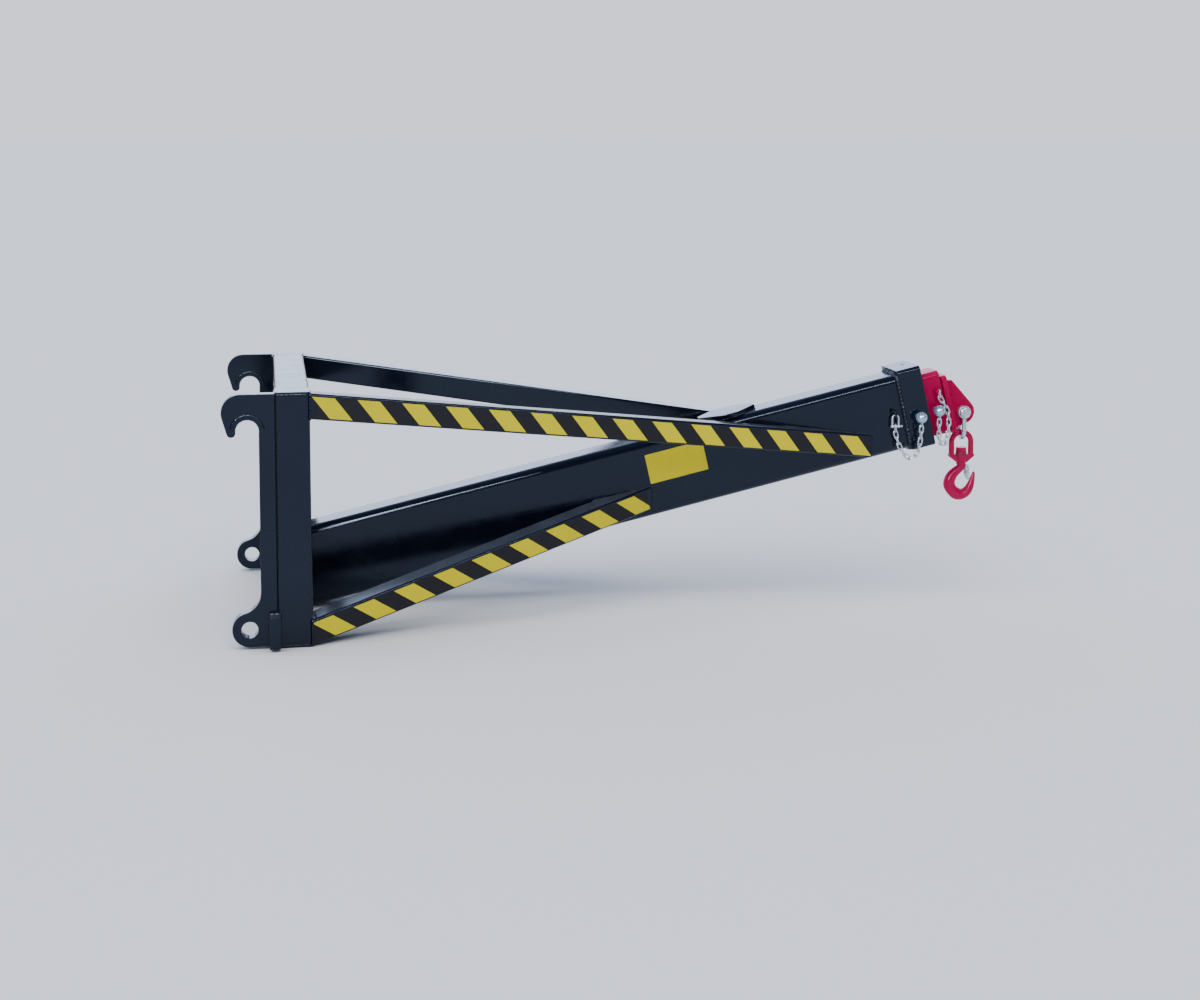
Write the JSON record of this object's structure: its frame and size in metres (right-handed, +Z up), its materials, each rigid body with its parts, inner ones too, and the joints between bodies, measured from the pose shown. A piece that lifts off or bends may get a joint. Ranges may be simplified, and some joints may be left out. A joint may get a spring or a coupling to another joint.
{
  "type": "telescopic crane jib for a loader",
  "caption": "Black crane jib for a loader's quick hitch: portal frame with hook claws, tapered bracing, telescopic boom with red stages, lock pins on chains, and a swivel hook.",
  "frame": {"origin": "axis of the hitch shaft seat, on the mid-plane", "axes": "+X to the boom tip, +Y to the left of the loader, +Z up"},
  "size_m": [1.9676, 0.9, 0.594],
  "materials": {
    "black_paint": "gloss black enamel, slight orange peel",
    "red_paint": "gloss crimson enamel",
    "zinc_plate": "bright zinc plate",
    "dark_steel": "black oxide",
    "slide_plastic": "natural cast polyamide"
  },
  "bodies": {
    "jib": {"hitch_plate_left": "black_paint", "hook_liner_left": "black_paint", "stop_block_left": "black_paint", "column_left": "black_paint", "column_top_cap_left": "black_paint", "column_foot_cap_left": "black_paint", "upper_strut_left": "black_paint", "lower_strut_left": "black_paint", "hitch_plate_right": "black_paint", "hook_liner_right": "black_paint", "stop_block_right": "black_paint", "column_right": "black_paint", "column_top_cap_right": "black_paint", "column_foot_cap_right": "black_paint", "upper_strut_right": "black_paint", "lower_strut_right": "black_paint", "top_cross_tube": "black_paint", "lower_cross_beam": "black_paint", "boom_tube": "black_paint", "boom_collar": "black_paint", "boom_top_plate": "black_paint", "boom_slide_pad": "slide_plastic", "pad_screw": "dark_steel", "chain_eye_1": "black_paint", "chain_1_shackle": "zinc_plate", "chain_1": "zinc_plate"},
    "extension_1": {"extension_1_tube": "red_paint", "extension_1_tail_pad": "slide_plastic", "chain_eye_2": "red_paint", "chain_2": "zinc_plate"},
    "extension_2": {"extension_2_tube": "red_paint", "extension_2_tail_pad": "slide_plastic", "end_flange": "red_paint", "lifting_lug": "red_paint"},
    "lock_pin_1": {"lock_pin_1_shank": "zinc_plate", "lock_pin_1_ball": "zinc_plate"},
    "lock_pin_2": {"lock_pin_2_shank": "zinc_plate", "lock_pin_2_ball": "zinc_plate"},
    "shackle": {"shackle_bow": "zinc_plate", "shackle_bolt": "zinc_plate", "shackle_nut": "zinc_plate", "shackle_cotter": "zinc_plate"},
    "bail": {"hook_bail": "red_paint"},
    "hook": {"hook_body": "red_paint", "swivel_nut": "dark_steel", "thrust_washer": "dark_steel", "latch_pin": "zinc_plate", "latch_spring": "zinc_plate"},
    "latch": {"hook_latch": "zinc_plate"}
  },
  "joints": [
    {"name": "extension_1_slide", "type": "slide", "parent": "jib", "child": "extension_1", "axis": [0.9751, 0, 0.2215], "range_m": [0, 0.75]},
    {"name": "extension_2_slide", "type": "slide", "parent": "extension_1", "child": "extension_2", "axis": [0.9751, 0, 0.2215], "range_m": [0, 0.75]},
    {"name": "lock_pin_1_slide", "type": "slide", "parent": "jib", "child": "lock_pin_1", "axis": [0, 1, 0], "range_m": [-0.018, 0.01], "deforming": ["chain_1"]},
    {"name": "lock_pin_2_slide", "type": "slide", "parent": "extension_1", "child": "lock_pin_2", "axis": [0, 1, 0], "range_m": [-0.007, 0.01], "deforming": ["chain_2"]},
    {"name": "shackle_swing", "type": "hinge", "parent": "extension_2", "child": "shackle", "pos_m": [1.86895, 0, -0.06093], "axis": [0, 1, 0], "range_deg": [-90, 4]},
    {"name": "hook_sway", "type": "hinge", "parent": "shackle", "child": "bail", "pos_m": [1.86895, 0, -0.11703], "axis": [1, 0, 0], "range_deg": [-40, 40]},
    {"name": "hook_swivel", "type": "hinge", "parent": "bail", "child": "hook", "pos_m": [1.86895, 0, -0.19893], "axis": [0, 0, 1], "continuous": true},
    {"name": "latch_hinge", "type": "hinge", "parent": "hook", "child": "latch", "pos_m": [1.88445, 0, -0.20993], "axis": [0, 1, 0], "range_deg": [0, 28], "stiffness_Nm_per_rad": 0.2, "springref_deg": -20.05, "deforming": ["latch_spring"]}
  ]
}
